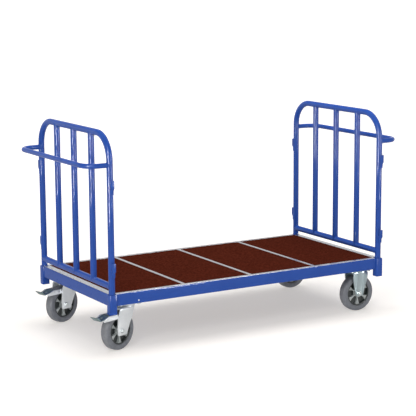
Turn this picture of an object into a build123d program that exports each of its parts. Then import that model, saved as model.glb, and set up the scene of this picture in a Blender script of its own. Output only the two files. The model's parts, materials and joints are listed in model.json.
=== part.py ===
"""Flatbed platform truck with two plug-in tubular end walls, two fixed and two swivel castors.

Millimetres. +X along the length, from the braked swivel castors to the fixed castors,
+Y across the truck, +Z up. The origin lies on the floor, midway along and across the truck.
"""
from build123d import *
from math import cos, radians, sin, sqrt
import os

os.makedirs("parts", exist_ok=True)

# ---- wheels and castors
WHEEL_RADIUS = 100.0
TYRE_WIDTH = 50.0
RIM_RADIUS = 71.0
RIB_COUNT = 6
AXLE_RADIUS = 6.0
BEARING_RADIUS = 12.0
RUNNING_GAP = 0.05
CASTOR_HEIGHT = 237.0
PLATE_LENGTH = 135.0
PLATE_WIDTH = 110.0
PLATE_THICKNESS = 8.0
PLATE_CORNER = 10.0
HEX_SIDES = 6
BOLT_PITCH_X = 105.0
BOLT_PITCH_Y = 80.0
BOLT_RADIUS = 5.0
FORK_INSIDE = 29.0
FORK_SHEET = 5.0
LEG_SPLAY = 12.0
LEG_KNEE = 135.0
FORK_BEND = 6.0
CUT_HALF = 60.0
FOOT_ROUND = 9.0
TRAIL = 66.0
KING_PIN_RADIUS = 10.0
CROWN_TOP = 220.0
RACE_RADIUS = 46.0
SWIVEL_X = -700.0
FIXED_X = 726.0
CASTOR_Y = 325.0
SWIVEL_ANGLES = {"front": 19.5, "back": 18.0}

# ---- brake pedal, measured from the swivel axis
PEDAL_PIVOT = (-148.0, 182.0)
PEDAL_PIN_RADIUS = 4.0
PEDAL_HALF_WIDTH = 25.0
PEDAL_SHEET = 3.0

# ---- frame
POST_X = 815.0
POST_Y = 400.0
SOCKET_SIZE = 40.0
SOCKET_WALL = 3.0
SOCKET_BOTTOM = 197.0
SOCKET_CORNER = 6.0
RAIL_HEIGHT = 60.0
SIDE_RAIL_WIDTH = 20.0
END_RAIL_WIDTH = 30.0
RAIL_WALL = 2.5
RAIL_CORNER = 4.0
SIDE_FACE = 408.0
END_FACE = 829.0
BEAM_WIDTH = 32.0
BEAM_WALL = 3.0
RIVET_X = -670.0
RIVET_Z = 252.0
RIVET_RADIUS = 3.0
RIVET_HEAD_RADIUS = 5.0

# ---- deck
PANEL_COUNT = 4
PANEL_THICKNESS = 12.0
PANEL_GAP = 6.0
PANEL_CLEARANCE = 1.0
STRIP_THICKNESS = 2.0
CROSS_STRIP_WIDTH = 18.0
EDGE_STRIP_WIDTH = 20.0
END_STRIP_WIDTH = 33.0
SCREW_RADIUS = 2.0
SCREW_HEAD_RADIUS = 4.0
SCREW_LENGTH = 20.0

# ---- end walls
TUBE_RADIUS = 16.0
TUBE_WALL = 2.5
HOOP_TOP = 1088.0
HOOP_BEND = 130.0
BOTTOM_RAIL_Z = 336.0
BAR_COUNT = 3
HANDLE_RADIUS = 12.5
HANDLE_WALL = 2.0
HANDLE_Z = 941.0
HANDLE_REACH = 126.0
HANDLE_BEND = 72.0
HOOK_WIDTH = 20.0
HOOK_HEIGHT = 72.0
HOOK_BASES = (384.0, 796.0)

# ---- levels and lengths that follow
RAIL_TOP = CASTOR_HEIGHT + RAIL_HEIGHT
PANEL_BOTTOM = RAIL_TOP - PANEL_THICKNESS
STRIP_TOP = RAIL_TOP + STRIP_THICKNESS
SOCKET_INNER_X = POST_X - SOCKET_SIZE / 2
SOCKET_INNER_Y = POST_Y - SOCKET_SIZE / 2
DECK_HALF_LENGTH = END_FACE - END_RAIL_WIDTH
DECK_HALF_WIDTH = SIDE_FACE - SIDE_RAIL_WIDTH
PANEL_PITCH = 2 * DECK_HALF_LENGTH / PANEL_COUNT
END_STRIP_INNER = DECK_HALF_LENGTH - 6.0
EDGE_STRIP_Y = DECK_HALF_WIDTH + 6.0
EDGE_SCREW_Y = EDGE_STRIP_Y + 2.0
CROSS_X = [-DECK_HALF_LENGTH + PANEL_PITCH * step for step in range(1, PANEL_COUNT)]
CASTOR_BEAM_X = [centre + side * BOLT_PITCH_X / 2 for centre in (SWIVEL_X, FIXED_X) for side in (-1, 1)]
BEAM_X = sorted(CROSS_X + CASTOR_BEAM_X)
FORK_OUTSIDE = FORK_INSIDE + FORK_SHEET

SIDES = {"front": -1, "back": 1}
ENDS = {"left": -1, "right": 1}


def finish(builder, name):
    """Label a finished piece and write it under its own name."""
    builder.part.label = name
    export_step(builder.part, f"parts/{name}.step")


def upright_plane(x, y, angle=0.0):
    """A plane whose own X runs along a castor's rolling line and whose own Y is up."""
    turn = radians(angle)
    return Plane(origin=(x, y, 0), x_dir=(cos(turn), sin(turn), 0), z_dir=(sin(turn), -cos(turn), 0))


def flat_plane(x, y, height, angle=0.0):
    """A level plane turned about the vertical with the castor that stands on it."""
    turn = radians(angle)
    return Plane(origin=(x, y, height), x_dir=(cos(turn), sin(turn), 0), z_dir=(0, 0, 1))


def bolt_points(x, y):
    """The four bolt positions of the castor plate centred at x, y."""
    return [(x + i * BOLT_PITCH_X / 2, y + j * BOLT_PITCH_Y / 2) for i in (-1, 1) for j in (-1, 1)]


# ---------------------------------------------------------------- frame
def side_rail(side):
    """Long rectangular tube between two corner sockets, drilled for the edge strip's screws."""
    with BuildPart() as rail:
        with BuildSketch(Plane.YZ.offset(-SOCKET_INNER_X)):
            with Locations((side * (SIDE_FACE - SIDE_RAIL_WIDTH / 2), CASTOR_HEIGHT + RAIL_HEIGHT / 2)):
                RectangleRounded(SIDE_RAIL_WIDTH, RAIL_HEIGHT, RAIL_CORNER)
                Rectangle(SIDE_RAIL_WIDTH - 2 * RAIL_WALL, RAIL_HEIGHT - 2 * RAIL_WALL, mode=Mode.SUBTRACT)
        extrude(amount=2 * SOCKET_INNER_X)
        with Locations(*[(x, side * EDGE_SCREW_Y, RAIL_TOP) for x in EDGE_SCREW_X]):
            Hole(SCREW_RADIUS + RUNNING_GAP, depth=2 * RAIL_WALL)
        with BuildSketch(Plane.XZ.offset(-side * SIDE_FACE)):
            with Locations((RIVET_X, RIVET_Z)):
                Circle(RIVET_RADIUS)
        extrude(amount=side * 2 * RAIL_WALL, mode=Mode.SUBTRACT)
    return rail


def rail_rivets():
    """Blind rivet in the outer wall of each side rail, near the swivel castors."""
    head_height = 1.5
    head_taper = 20.0
    tail = 3.0
    with BuildPart() as rivets:
        for side in SIDES.values():
            wall = Plane(origin=(RIVET_X, side * SIDE_FACE, RIVET_Z), x_dir=(1, 0, 0), z_dir=(0, side, 0))
            with BuildSketch(wall):
                Circle(RIVET_HEAD_RADIUS)
            extrude(amount=head_height, taper=head_taper)
            with BuildSketch(wall):
                Circle(RIVET_RADIUS)
            extrude(amount=-RAIL_WALL - tail)
    return rivets


def end_rail(end):
    """Short rectangular tube between two corner sockets, drilled for the end strip's screws."""
    with BuildPart() as rail:
        with BuildSketch(Plane.XZ.offset(-SOCKET_INNER_Y)):
            with Locations((end * (END_FACE - END_RAIL_WIDTH / 2), CASTOR_HEIGHT + RAIL_HEIGHT / 2)):
                RectangleRounded(END_RAIL_WIDTH, RAIL_HEIGHT, RAIL_CORNER)
                Rectangle(END_RAIL_WIDTH - 2 * RAIL_WALL, RAIL_HEIGHT - 2 * RAIL_WALL, mode=Mode.SUBTRACT)
        extrude(amount=2 * SOCKET_INNER_Y)
        with Locations(*[(end * END_SCREW_X, y, RAIL_TOP) for y in END_SCREW_Y]):
            Hole(SCREW_RADIUS + RUNNING_GAP, depth=2 * RAIL_WALL)
    return rail


def corner_socket(end, side):
    """Square tube, closed below, that an end wall's post stands in."""
    edge_break = 1.0
    inside = SOCKET_SIZE - 2 * SOCKET_WALL
    with BuildPart() as socket:
        with BuildSketch(Plane.XY.offset(SOCKET_BOTTOM)):
            with Locations((end * POST_X, side * POST_Y)):
                RectangleRounded(SOCKET_SIZE, SOCKET_SIZE, SOCKET_CORNER)
        extrude(amount=RAIL_TOP - SOCKET_BOTTOM)
        with BuildSketch(Plane.XY.offset(SOCKET_BOTTOM + SOCKET_WALL)):
            with Locations((end * POST_X, side * POST_Y)):
                RectangleRounded(inside, inside, SOCKET_CORNER - SOCKET_WALL)
        extrude(amount=RAIL_TOP - SOCKET_BOTTOM, mode=Mode.SUBTRACT)
        top_edges = socket.faces().sort_by(Axis.Z)[-1].outer_wire().edges()
        bottom_edges = socket.faces().sort_by(Axis.Z)[0].edges()
        chamfer(top_edges + bottom_edges, length=edge_break)
    return socket


def cross_members():
    """Rectangular tubes across the frame, under the deck joints and over the castor plates."""
    middle = (CASTOR_HEIGHT + PANEL_BOTTOM) / 2
    height = PANEL_BOTTOM - CASTOR_HEIGHT
    with BuildPart() as beams:
        with BuildSketch(Plane.XZ.offset(-DECK_HALF_WIDTH)):
            with Locations(*[(x, middle) for x in BEAM_X]):
                Rectangle(BEAM_WIDTH, height)
                Rectangle(BEAM_WIDTH - 2 * BEAM_WALL, height - 2 * BEAM_WALL, mode=Mode.SUBTRACT)
        extrude(amount=2 * DECK_HALF_WIDTH)
        with Locations(*[(x, y, PANEL_BOTTOM) for x in CROSS_X for y in CROSS_SCREW_Y]):
            Hole(SCREW_RADIUS + RUNNING_GAP, depth=2 * BEAM_WALL)
        with Locations(*[(x, y, CASTOR_HEIGHT + BEAM_WALL) for x, y in ALL_BOLT_POINTS]):
            Hole(BOLT_RADIUS + RUNNING_GAP, depth=2 * BEAM_WALL)
    return beams


def deck_ledges():
    """Flat bars along the side rails, between the cross members, that carry the panels' edges."""
    ledge_width = 25.0
    ledge_thickness = 5.0
    with BuildPart() as ledges:
        with BuildSketch(Plane.XY.offset(PANEL_BOTTOM - ledge_thickness)):
            for start, stop in zip(BEAM_X, BEAM_X[1:]):
                span = stop - start - BEAM_WIDTH
                for side in SIDES.values():
                    with Locations(((start + stop) / 2, side * (DECK_HALF_WIDTH - ledge_width / 2))):
                        Rectangle(span, ledge_width)
        extrude(amount=ledge_thickness)
    return ledges


# ---------------------------------------------------------------- deck
def deck_panel(index):
    """Film-faced plywood panel lying inside the frame, notched where it meets a corner socket."""
    low = -DECK_HALF_LENGTH + index * PANEL_PITCH
    start = low + (PANEL_GAP / 2 if index else PANEL_CLEARANCE)
    stop = low + PANEL_PITCH - (PANEL_GAP / 2 if index < PANEL_COUNT - 1 else PANEL_CLEARANCE)
    notch = SOCKET_SIZE + 2 * PANEL_CLEARANCE
    with BuildPart() as panel:
        with BuildSketch(Plane.XY.offset(PANEL_BOTTOM)):
            with Locations(((start + stop) / 2, 0)):
                Rectangle(stop - start, 2 * (DECK_HALF_WIDTH - PANEL_CLEARANCE))
            with Locations(*[(i * POST_X, j * POST_Y) for i in (-1, 1) for j in (-1, 1)]):
                Rectangle(notch, notch, mode=Mode.SUBTRACT)
        extrude(amount=PANEL_THICKNESS)
    return panel


def deck_strip(x, y, length_x, length_y, screws):
    """Flat metal strip with rounded long edges, countersunk for its screws."""
    edge_break = 0.6
    screw_gap = 0.1
    with BuildPart() as strip:
        with BuildSketch(Plane.XY.offset(RAIL_TOP)):
            with Locations((x, y)):
                Rectangle(length_x, length_y)
        extrude(amount=STRIP_THICKNESS)
        long_axis = Axis.X if length_x > length_y else Axis.Y
        top = strip.faces().sort_by(Axis.Z)[-1]
        chamfer(top.edges().filter_by(long_axis), length=edge_break)
        with Locations(*[(px, py, STRIP_TOP) for px, py in screws]):
            CounterSinkHole(SCREW_RADIUS + screw_gap, SCREW_HEAD_RADIUS + screw_gap)
    return strip


def deck_screws():
    """Countersunk screws that hold the strips down on the frame."""
    points = CROSS_SCREWS + EDGE_SCREWS + END_SCREWS
    neck = STRIP_TOP - (SCREW_HEAD_RADIUS - SCREW_RADIUS)
    with BuildPart() as screws:
        with BuildSketch(Plane.XY.offset(STRIP_TOP - SCREW_LENGTH)):
            with Locations(*points):
                Circle(SCREW_RADIUS)
        extrude(amount=SCREW_LENGTH)
        with Locations(*[(x, y, (neck + STRIP_TOP) / 2) for x, y in points]):
            Cone(SCREW_RADIUS, SCREW_HEAD_RADIUS, STRIP_TOP - neck)
    return screws


# ---------------------------------------------------------------- castors
def castor_fasteners():
    """Hexagon bolts up through the castor plates, each with its nut inside a cross member."""
    head_height = 6.4
    nut_height = 8.0
    thread_end = 3.0
    across_flats = 17.0
    across_corners = across_flats / sqrt(3)
    plate_bottom = CASTOR_HEIGHT - PLATE_THICKNESS
    nut_bottom = CASTOR_HEIGHT + BEAM_WALL
    with BuildPart() as fasteners:
        for base, height in ((plate_bottom - head_height, head_height), (nut_bottom, nut_height)):
            with BuildSketch(Plane.XY.offset(base)):
                with Locations(*ALL_BOLT_POINTS):
                    RegularPolygon(across_corners, HEX_SIDES)
            extrude(amount=height)
        with BuildSketch(Plane.XY.offset(plate_bottom)):
            with Locations(*ALL_BOLT_POINTS):
                Circle(BOLT_RADIUS)
        extrude(amount=nut_bottom + nut_height + thread_end - plate_bottom)
    return fasteners


def swivel_plate(side):
    """Castor top plate with its pressed ball race underneath."""
    y = SIDES[side] * CASTOR_Y
    plate_bottom = CASTOR_HEIGHT - PLATE_THICKNESS
    race_gap = 0.5
    race_chamfer = 3.0
    with BuildPart() as plate:
        with BuildSketch(Plane.XY.offset(plate_bottom)):
            with Locations((SWIVEL_X, y)):
                RectangleRounded(PLATE_LENGTH, PLATE_WIDTH, PLATE_CORNER)
            with Locations(*bolt_points(SWIVEL_X, y)):
                Circle(BOLT_RADIUS + RUNNING_GAP, mode=Mode.SUBTRACT)
        extrude(amount=PLATE_THICKNESS)
        with BuildSketch(Plane.XY.offset(CROWN_TOP + race_gap)):
            with Locations((SWIVEL_X, y)):
                Circle(RACE_RADIUS)
        extrude(amount=plate_bottom - CROWN_TOP - race_gap)
        race_rim = plate.edges().filter_by(GeomType.CIRCLE).sort_by(Axis.Z)[0]
        chamfer(race_rim, length=race_chamfer)
        with BuildSketch(Plane.XY):
            with Locations((SWIVEL_X, y)):
                Circle(KING_PIN_RADIUS)
        extrude(amount=CASTOR_HEIGHT, mode=Mode.SUBTRACT)
    return plate


def king_pins():
    """Pins that the swivel forks turn on, each with its nut under the crown."""
    nut_height = 8.0
    nut_gap = 0.5
    across_flats = 30.0
    nut_top = CROWN_TOP - FORK_SHEET - nut_gap
    points = [(SWIVEL_X, side * CASTOR_Y) for side in SIDES.values()]
    with BuildPart() as pins:
        with BuildSketch(Plane.XY.offset(nut_top)):
            with Locations(*points):
                Circle(KING_PIN_RADIUS)
        extrude(amount=CASTOR_HEIGHT - nut_top)
        with BuildSketch(Plane.XY.offset(nut_top - nut_height)):
            with Locations(*points):
                RegularPolygon(across_flats / sqrt(3), HEX_SIDES)
        extrude(amount=nut_height)
    return pins


def section_plane(x, y, angle=0.0):
    """A plane across a castor: its own X runs along the axle and its own Y is up."""
    turn = radians(angle)
    return Plane(origin=(x, y, 0), x_dir=(-sin(turn), cos(turn), 0), z_dir=(cos(turn), sin(turn), 0))


def fork_section(top, sheet=FORK_SHEET):
    """Section of a pressed fork: a flat crown, legs that draw in from it, then upright feet."""
    sheet_top = top - FORK_SHEET
    with BuildSketch(mode=Mode.PRIVATE) as section:
        with BuildLine():
            FilletPolyline(
                (-FORK_INSIDE, 0),
                (-FORK_INSIDE, LEG_KNEE),
                (-FORK_INSIDE - LEG_SPLAY, sheet_top),
                (FORK_INSIDE + LEG_SPLAY, sheet_top),
                (FORK_INSIDE, LEG_KNEE),
                (FORK_INSIDE, 0),
                radius=FORK_BEND,
            )
            offset(amount=sheet, side=Side.LEFT, kind=Kind.ARC)
        make_face()
    return section.sketch


def swivel_fork(side):
    """Pressed fork: crown under the ball race, two legs, and side walls that carry the pedal."""
    y = SIDES[side] * CASTOR_Y
    angle = SWIVEL_ANGLES[side]
    upright = upright_plane(SWIVEL_X, y, angle)
    back_edge = -TRAIL - 29.0
    crown_back = -86.0
    crown_front = 16.0
    crown_inset = 2.0
    leg_shoulder = (6.0, 163.0)
    foot_front = -33.0
    foot_bottom = 77.0
    wall_low = 166.0
    wall_high = 190.0
    wall_bend = PEDAL_PIVOT[0] - 8.0
    wall_end = -196.0
    wall_end_low = wall_end + 6.0
    wall_end_high = 174.0
    wall_root = back_edge + 2.0
    with BuildPart() as fork:
        with BuildSketch(section_plane(SWIVEL_X, y, angle).offset(2 * back_edge)):
            add(fork_section(CROWN_TOP))
        extrude(amount=4 * CUT_HALF)
        with BuildSketch(upright.offset(-CUT_HALF)):
            with BuildLine():
                Polyline(
                    (crown_back, CROWN_TOP),
                    (back_edge, wall_high),
                    (back_edge, foot_bottom),
                    (foot_front, foot_bottom),
                    leg_shoulder,
                    (crown_front, CROWN_TOP),
                    close=True,
                )
            make_face()
            fillet(vertices().group_by(Axis.Y)[0], radius=FOOT_ROUND)
        extrude(amount=2 * CUT_HALF, mode=Mode.INTERSECT)
        for start in (FORK_INSIDE, -FORK_OUTSIDE):
            with BuildSketch(upright.offset(start)):
                with BuildLine():
                    Polyline(
                        (wall_root, wall_low),
                        (wall_end_low, wall_low),
                        (wall_end, wall_end_high),
                        (wall_bend, wall_high),
                        (wall_root, wall_high),
                        close=True,
                    )
                make_face()
            extrude(amount=FORK_SHEET)
        with BuildSketch(flat_plane(SWIVEL_X, y, CROWN_TOP - FORK_SHEET, angle)):
            Circle(RACE_RADIUS - crown_inset)
        extrude(amount=FORK_SHEET)
        with BuildSketch(flat_plane(SWIVEL_X, y, 0, angle)):
            Circle(KING_PIN_RADIUS + RUNNING_GAP)
        extrude(amount=CROWN_TOP, mode=Mode.SUBTRACT)
        with BuildSketch(upright.offset(-CUT_HALF)):
            with Locations((-TRAIL, WHEEL_RADIUS)):
                Circle(AXLE_RADIUS + RUNNING_GAP)
            with Locations(PEDAL_PIVOT):
                Circle(PEDAL_PIN_RADIUS + RUNNING_GAP)
        extrude(amount=2 * CUT_HALF, mode=Mode.SUBTRACT)
    return fork


def fixed_fork(side):
    """Pressed fork with ridged legs and its own top plate, for a castor that doesn't swivel."""
    y = SIDES[side] * CASTOR_Y
    plate_bottom = CASTOR_HEIGHT - PLATE_THICKNESS
    crown_half = 42.0
    shoulder_half = 47.0
    shoulder_high = plate_bottom - 16.0
    shoulder_low = plate_bottom - 50.0
    crown_low = plate_bottom - 9.0
    foot_half = 26.0
    foot_bottom = 86.0
    foot_end_half = foot_half - 5.0
    ridge_x = 22.0
    ridge_width = 4.0
    ridge_height = 1.5
    upright = upright_plane(FIXED_X, y)
    section = section_plane(FIXED_X, y)
    with BuildPart() as fork:
        with BuildSketch(section.offset(-CUT_HALF)):
            add(fork_section(plate_bottom))
        extrude(amount=2 * CUT_HALF)
        for ridge in (-ridge_x, ridge_x):
            with BuildSketch(section.offset(ridge - ridge_width / 2)):
                add(fork_section(plate_bottom, FORK_SHEET + ridge_height))
            extrude(amount=ridge_width)
        with BuildSketch(upright.offset(-CUT_HALF)):
            with BuildLine():
                Polyline(
                    (0, plate_bottom),
                    (crown_half, plate_bottom),
                    (crown_half, crown_low),
                    (shoulder_half, shoulder_high),
                    (shoulder_half, shoulder_low),
                    (foot_half, WHEEL_RADIUS),
                    (foot_end_half, foot_bottom),
                    (0, foot_bottom),
                )
                mirror(about=Plane.YZ)
            make_face()
            fillet(vertices().group_by(Axis.Y)[0], radius=FOOT_ROUND)
        extrude(amount=2 * CUT_HALF, mode=Mode.INTERSECT)
        with BuildSketch(Plane.XY.offset(plate_bottom)):
            with Locations((FIXED_X, y)):
                RectangleRounded(PLATE_LENGTH, PLATE_WIDTH, PLATE_CORNER)
            with Locations(*bolt_points(FIXED_X, y)):
                Circle(BOLT_RADIUS + RUNNING_GAP, mode=Mode.SUBTRACT)
        extrude(amount=PLATE_THICKNESS)
        with BuildSketch(upright.offset(-CUT_HALF)):
            with Locations((0, WHEEL_RADIUS)):
                Circle(AXLE_RADIUS + RUNNING_GAP)
        extrude(amount=2 * CUT_HALF, mode=Mode.SUBTRACT)
    return fork


def axle(x, y, angle=0.0):
    """Axle bolt through both fork legs, with its head, its nut and a washer face on each."""
    head_height = 8.0
    across_flats = 19.0
    across_corners = across_flats / sqrt(3)
    upright = upright_plane(x, y, angle)
    with BuildPart() as bolt:
        with BuildSketch(upright.offset(-FORK_OUTSIDE)):
            with Locations((0, WHEEL_RADIUS)):
                Circle(AXLE_RADIUS)
        extrude(amount=2 * FORK_OUTSIDE)
        for start in (FORK_OUTSIDE, -FORK_OUTSIDE - head_height):
            with BuildSketch(upright.offset(start)):
                with Locations((0, WHEEL_RADIUS)):
                    RegularPolygon(across_corners, HEX_SIDES)
            extrude(amount=head_height)
    return bolt


def fixed_axles():
    """The two axle bolts of the fixed castors."""
    with BuildPart() as axles:
        for side in SIDES.values():
            add(axle(FIXED_X, side * CASTOR_Y).part)
    return axles


def wheel_centre(end, side):
    """Axle position and rolling direction of one wheel."""
    y = SIDES[side] * CASTOR_Y
    if end == "right":
        return FIXED_X, y, 0.0
    angle = SWIVEL_ANGLES[side]
    turn = radians(angle)
    return SWIVEL_X - TRAIL * cos(turn), y - TRAIL * sin(turn), angle


def axial_plane(x, y, angle):
    """A plane through a wheel's axle: its own X runs along the axle and its own Y is up."""
    turn = radians(angle)
    along = (cos(turn), sin(turn), 0)
    return Plane(origin=(x, y, WHEEL_RADIUS), x_dir=(-sin(turn), cos(turn), 0), z_dir=along)


def tyre(x, y, angle):
    """Solid rubber tyre with a slightly crowned tread and rounded shoulders."""
    plane = axial_plane(x, y, angle)
    half = TYRE_WIDTH / 2
    tread_half = half - 8.0
    tread_edge = WHEEL_RADIUS - 1.5
    shoulder = WHEEL_RADIUS - 11.0
    corner_half = half - 2.2
    corner = WHEEL_RADIUS - 5.0
    seat_half = half - 3.0
    with BuildPart() as ring:
        with BuildSketch(plane):
            with BuildLine():
                ThreePointArc((-tread_half, tread_edge), (0, WHEEL_RADIUS), (tread_half, tread_edge))
                ThreePointArc((tread_half, tread_edge), (corner_half, corner), (half, shoulder))
                Polyline(
                    (half, shoulder),
                    (seat_half, RIM_RADIUS),
                    (-seat_half, RIM_RADIUS),
                    (-half, shoulder),
                )
                ThreePointArc((-half, shoulder), (-corner_half, corner), (-tread_half, tread_edge))
            make_face()
        revolve(axis=Axis(plane.origin, plane.x_dir))
    return ring


def rim(x, y, angle):
    """Moulded wheel centre: hub, thin web, rim band and radial ribs on both faces."""
    hub_half = 27.0
    hub_radius = 23.0
    band_half = 20.0
    band_radius = 62.0
    web_half = 4.0
    rib_half = 15.0
    rib_width = 9.0
    rib_root = 2.0
    upright = upright_plane(x, y, angle)
    with BuildPart() as centre:
        for radius, half in ((hub_radius, hub_half), (RIM_RADIUS, web_half)):
            with BuildSketch(upright.offset(-half)):
                with Locations((0, WHEEL_RADIUS)):
                    Circle(radius)
            extrude(amount=2 * half)
        with BuildSketch(upright.offset(-band_half)):
            with Locations((0, WHEEL_RADIUS)):
                Circle(RIM_RADIUS)
                Circle(band_radius, mode=Mode.SUBTRACT)
        extrude(amount=2 * band_half)
        with BuildSketch(upright.offset(-rib_half)):
            with Locations((0, WHEEL_RADIUS)):
                with PolarLocations((hub_radius + band_radius) / 2, RIB_COUNT, start_angle=90):
                    Rectangle(band_radius - hub_radius + 2 * rib_root, rib_width)
        extrude(amount=2 * rib_half)
        with BuildSketch(upright.offset(-hub_half)):
            with Locations((0, WHEEL_RADIUS)):
                Circle(BEARING_RADIUS)
        extrude(amount=2 * hub_half, mode=Mode.SUBTRACT)
    return centre


def bearing(x, y, angle):
    """Bearing sleeve pressed into the hub, running on the axle bolt."""
    side_gap = 0.5
    half = FORK_INSIDE - side_gap
    with BuildPart() as sleeve:
        with BuildSketch(upright_plane(x, y, angle).offset(-half)):
            with Locations((0, WHEEL_RADIUS)):
                Circle(BEARING_RADIUS)
                Circle(AXLE_RADIUS + RUNNING_GAP, mode=Mode.SUBTRACT)
        extrude(amount=2 * half)
    return sleeve


def brake_pedal(side):
    """Slotted foot pedal with an upturned lip, two ears on its pin and a brake shoe below."""
    y = SIDES[side] * CASTOR_Y
    upright = upright_plane(SWIVEL_X, y, SWIVEL_ANGLES[side])
    inner = (-136.0, 188.0)
    outer = (-206.0, 171.5)
    lip = (-231.0, 193.0)
    ear_radius = 8.0
    ear_thickness = 4.0
    shoe_half_width = 15.0
    shoe_tip = 165.5
    shoe_top = inner[1] - 1.0
    shoe_front = PEDAL_PIVOT[0] + 3.0
    shoe_back = PEDAL_PIVOT[0] - 4.0
    slot_length = 32.0
    slot_width = 10.0
    slot_middle = (inner[0] + outer[0]) / 2 - 14.0
    with BuildPart() as pedal:
        with BuildSketch(upright.offset(-PEDAL_HALF_WIDTH)):
            with BuildLine():
                Polyline(inner, outer, lip)
                offset(amount=PEDAL_SHEET, side=Side.RIGHT, closed=True)
            make_face()
        extrude(amount=2 * PEDAL_HALF_WIDTH)
        with BuildSketch(upright.offset(-shoe_half_width)):
            with BuildLine():
                Polyline(
                    (shoe_front, shoe_tip),
                    (shoe_front, shoe_top),
                    (shoe_back, shoe_top),
                    (shoe_back, shoe_tip),
                    close=True,
                )
            make_face()
            with Locations(PEDAL_PIVOT):
                Circle(ear_radius)
        extrude(amount=2 * shoe_half_width)
        for start in (PEDAL_HALF_WIDTH - ear_thickness, -PEDAL_HALF_WIDTH):
            with BuildSketch(upright.offset(start)):
                with Locations(PEDAL_PIVOT):
                    Circle(ear_radius)
            extrude(amount=ear_thickness)
        with BuildSketch(upright.offset(-PEDAL_HALF_WIDTH)):
            with Locations(PEDAL_PIVOT):
                Circle(PEDAL_PIN_RADIUS + RUNNING_GAP)
        extrude(amount=2 * PEDAL_HALF_WIDTH, mode=Mode.SUBTRACT)
        with BuildSketch(flat_plane(SWIVEL_X, y, CASTOR_HEIGHT, SWIVEL_ANGLES[side])):
            with Locations((slot_middle, 0)):
                SlotOverall(slot_length, slot_width)
        extrude(amount=-RAIL_HEIGHT, mode=Mode.SUBTRACT)
    return pedal


def pedal_pin(side):
    """Pin across the fork's side walls that the pedal turns on."""
    half = FORK_OUTSIDE + 1.0
    upright = upright_plane(SWIVEL_X, SIDES[side] * CASTOR_Y, SWIVEL_ANGLES[side])
    with BuildPart() as pin:
        with BuildSketch(upright.offset(-half)):
            with Locations(PEDAL_PIVOT):
                Circle(PEDAL_PIN_RADIUS)
        extrude(amount=2 * half)
    return pin


# ---------------------------------------------------------------- end walls
def hoop_rod(end, radius, bore=0.0):
    """U-bent tube of one end wall: two posts and the top rail in one piece."""
    x = end * POST_X
    foot = SOCKET_BOTTOM + SOCKET_WALL
    with BuildPart() as rod:
        with BuildLine() as path:
            FilletPolyline(
                (x, -POST_Y, foot),
                (x, -POST_Y, HOOP_TOP),
                (x, POST_Y, HOOP_TOP),
                (x, POST_Y, foot),
                radius=HOOP_BEND,
            )
        with BuildSketch(Plane(origin=path.line @ 0, z_dir=path.line % 0)):
            Circle(radius)
            if bore:
                Circle(bore, mode=Mode.SUBTRACT)
        sweep(path=path.line)
    return rod


def bottom_rod(end, radius, bore=0.0):
    """Straight horizontal tube between the two posts, just above the deck."""
    with BuildPart() as rod:
        with BuildSketch(Plane.XZ.offset(-POST_Y)):
            with Locations((end * POST_X, BOTTOM_RAIL_Z)):
                Circle(radius)
                if bore:
                    Circle(bore, mode=Mode.SUBTRACT)
        extrude(amount=2 * POST_Y)
    return rod


def wall_bottom_rail(end):
    """Bottom rail, its ends notched to the posts."""
    with BuildPart() as rail:
        add(bottom_rod(end, TUBE_RADIUS, TUBE_RADIUS - TUBE_WALL).part)
        add(hoop_rod(end, TUBE_RADIUS).part, mode=Mode.SUBTRACT)
    return rail


def wall_bars(end):
    """Upright tubes between the bottom rail and the top rail, notched to both."""
    spacing = 2 * POST_Y / (BAR_COUNT + 1)
    with BuildPart() as bars:
        with BuildSketch(Plane.XY.offset(BOTTOM_RAIL_Z)):
            with Locations(*[(end * POST_X, spacing * (i - (BAR_COUNT - 1) / 2)) for i in range(BAR_COUNT)]):
                Circle(TUBE_RADIUS)
                Circle(TUBE_RADIUS - TUBE_WALL, mode=Mode.SUBTRACT)
        extrude(amount=HOOP_TOP - BOTTOM_RAIL_Z)
        add(hoop_rod(end, TUBE_RADIUS).part, mode=Mode.SUBTRACT)
        add(bottom_rod(end, TUBE_RADIUS).part, mode=Mode.SUBTRACT)
    return bars


def push_handle(end):
    """Thinner bent tube that stands out from the posts, its ends notched to them."""
    near = end * POST_X
    far = end * (POST_X + HANDLE_REACH)
    with BuildPart() as handle:
        with BuildLine() as path:
            FilletPolyline(
                (near, -POST_Y, HANDLE_Z),
                (far, -POST_Y, HANDLE_Z),
                (far, POST_Y, HANDLE_Z),
                (near, POST_Y, HANDLE_Z),
                radius=HANDLE_BEND,
            )
        with BuildSketch(Plane(origin=path.line @ 0, z_dir=path.line % 0)):
            Circle(HANDLE_RADIUS)
            Circle(HANDLE_RADIUS - HANDLE_WALL, mode=Mode.SUBTRACT)
        sweep(path=path.line)
        add(hoop_rod(end, TUBE_RADIUS).part, mode=Mode.SUBTRACT)
    return handle


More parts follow.
